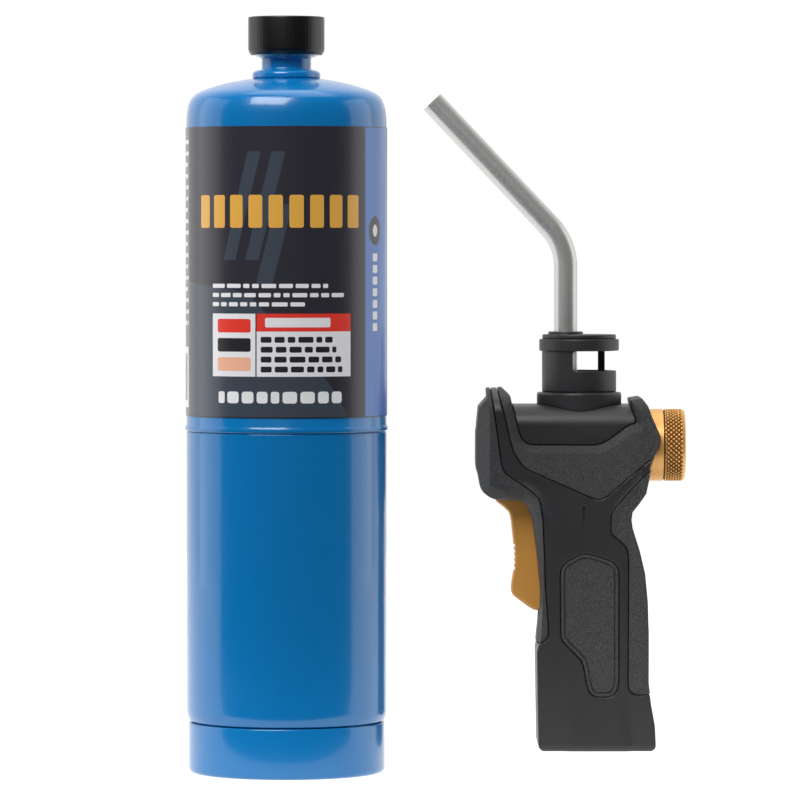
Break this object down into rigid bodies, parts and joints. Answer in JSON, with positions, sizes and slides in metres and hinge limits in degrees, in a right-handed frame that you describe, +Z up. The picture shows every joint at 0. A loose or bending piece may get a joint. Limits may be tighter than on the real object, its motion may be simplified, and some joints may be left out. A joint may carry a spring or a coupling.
{
  "type": "propane torch",
  "caption": "Hand torch for roofing and soldering work: slim fuel cylinder with its screw cap, and a separate pistol grip torch head with a bent burner tube.",
  "frame": {"origin": "on the ground under the middle of the overall bounding box", "axes": "+Z up, the burner points to -X, the user stands at +X, -Y is the side seen in the picture"},
  "size_m": [0.1872, 0.1538, 0.2755],
  "materials": {
    "painted_steel": "gloss blue enamel on drawn steel",
    "printed_film": "printed polypropylene film, satin",
    "plated_steel": "zinc plated steel",
    "brass": "machined brass",
    "black_polythene": "moulded black polyethylene",
    "moulded_nylon": "smooth charcoal moulded nylon",
    "textured_overmould": "speckled charcoal overmould",
    "gold_anodised_aluminium": "gold anodised aluminium",
    "gold_abs": "gold coloured ABS",
    "stainless_steel": "satin stainless tube",
    "spring_steel": "music wire",
    "nitrile_rubber": "nitrile rubber",
    "black_nylon": "black glass filled nylon",
    "ceramic": "white alumina ceramic",
    "wire_insulation": "silicone insulated wire",
    "sintered_bronze": "sintered bronze"
  },
  "bodies": {
    "cylinder": {"cylinder_foot_ring": "painted_steel", "cylinder_label": "printed_film", "cylinder_lower_shell": "painted_steel", "cylinder_neck": "plated_steel", "cylinder_relief_plug": "brass", "cylinder_upper_shell": "painted_steel", "cylinder_valve_core": "brass", "cylinder_valve_seal": "nitrile_rubber"},
    "torch_head": {"air_collar": "black_nylon", "badge_left": "textured_overmould", "badge_right": "textured_overmould", "burner_tube": "stainless_steel", "collar_base": "black_nylon", "collar_top": "black_nylon", "electrode_insulator": "ceramic", "flame_holder": "stainless_steel", "front_bumper": "textured_overmould", "igniter_wire": "wire_insulation", "injector": "brass", "inlet_filter": "sintered_bronze", "inlet_nut": "brass", "inlet_pin": "brass", "inlet_seal": "nitrile_rubber", "packing_nut": "brass", "piezo_body": "black_nylon", "rear_grip": "textured_overmould", "regulator_body": "brass", "regulator_bonnet": "brass", "regulator_diaphragm": "nitrile_rubber", "regulator_spring": "spring_steel", "riser_lower": "brass", "riser_upper": "brass", "shell_left": "moulded_nylon", "shell_right": "moulded_nylon", "shell_screws": "plated_steel", "side_panel_left": "textured_overmould", "side_panel_right": "textured_overmould", "spark_electrode": "stainless_steel", "stem_o_ring": "nitrile_rubber", "trigger_pin": "plated_steel", "trigger_valve_body": "brass", "valve_body": "brass"},
    "cap": {"cylinder_cap": "black_polythene"},
    "valve_pin": {"cylinder_valve_pin": "plated_steel", "cylinder_valve_spring": "spring_steel"},
    "knob": {"knob": "gold_anodised_aluminium", "valve_stem": "plated_steel"},
    "trigger": {"trigger": "gold_abs"},
    "piezo_plunger": {"piezo_plunger": "gold_abs", "piezo_spring": "spring_steel"},
    "gas_rod": {"trigger_valve_rod": "plated_steel", "trigger_valve_spring": "spring_steel"}
  },
  "joints": [
    {"name": "cap_lift", "type": "slide", "parent": "cylinder", "child": "cap", "axis": [0, 0, 1], "range_m": [0, 0.03]},
    {"name": "head_lift", "type": "slide", "parent": "cylinder", "child": "torch_head", "axis": [0, 0, 1], "range_m": [0, 0.05]},
    {"name": "valve_pin_press", "type": "slide", "parent": "cylinder", "child": "valve_pin", "axis": [0, 0, -1], "range_m": [0, 0.0015], "stiffness_N_per_m": 400, "deforming": ["cylinder_valve_spring"]},
    {"name": "knob_turn", "type": "hinge", "parent": "torch_head", "child": "knob", "pos_m": [0.0603, 0.0561, 0.116], "axis": [1, 0, 0], "range_deg": [0, 300]},
    {"name": "trigger_squeeze", "type": "hinge", "parent": "torch_head", "child": "trigger", "pos_m": [0.0363, 0.0561, 0.103], "axis": [0, -1, 0], "range_deg": [0, 8], "stiffness_Nm_per_rad": 2},
    {"name": "piezo_press", "type": "slide", "parent": "torch_head", "child": "piezo_plunger", "axis": [1, 0, 0], "range_m": [0, 0.0056], "deforming": ["piezo_spring"]},
    {"name": "gas_rod_press", "type": "slide", "parent": "torch_head", "child": "gas_rod", "axis": [1, 0, 0], "range_m": [0, 0.0034], "deforming": ["trigger_valve_spring"]}
  ],
  "couplings": [
    {"joint": "piezo_press", "follows": "trigger_squeeze", "m_per_rad": 0.039},
    {"joint": "gas_rod_press", "follows": "trigger_squeeze", "m_per_rad": 0.023}
  ]
}
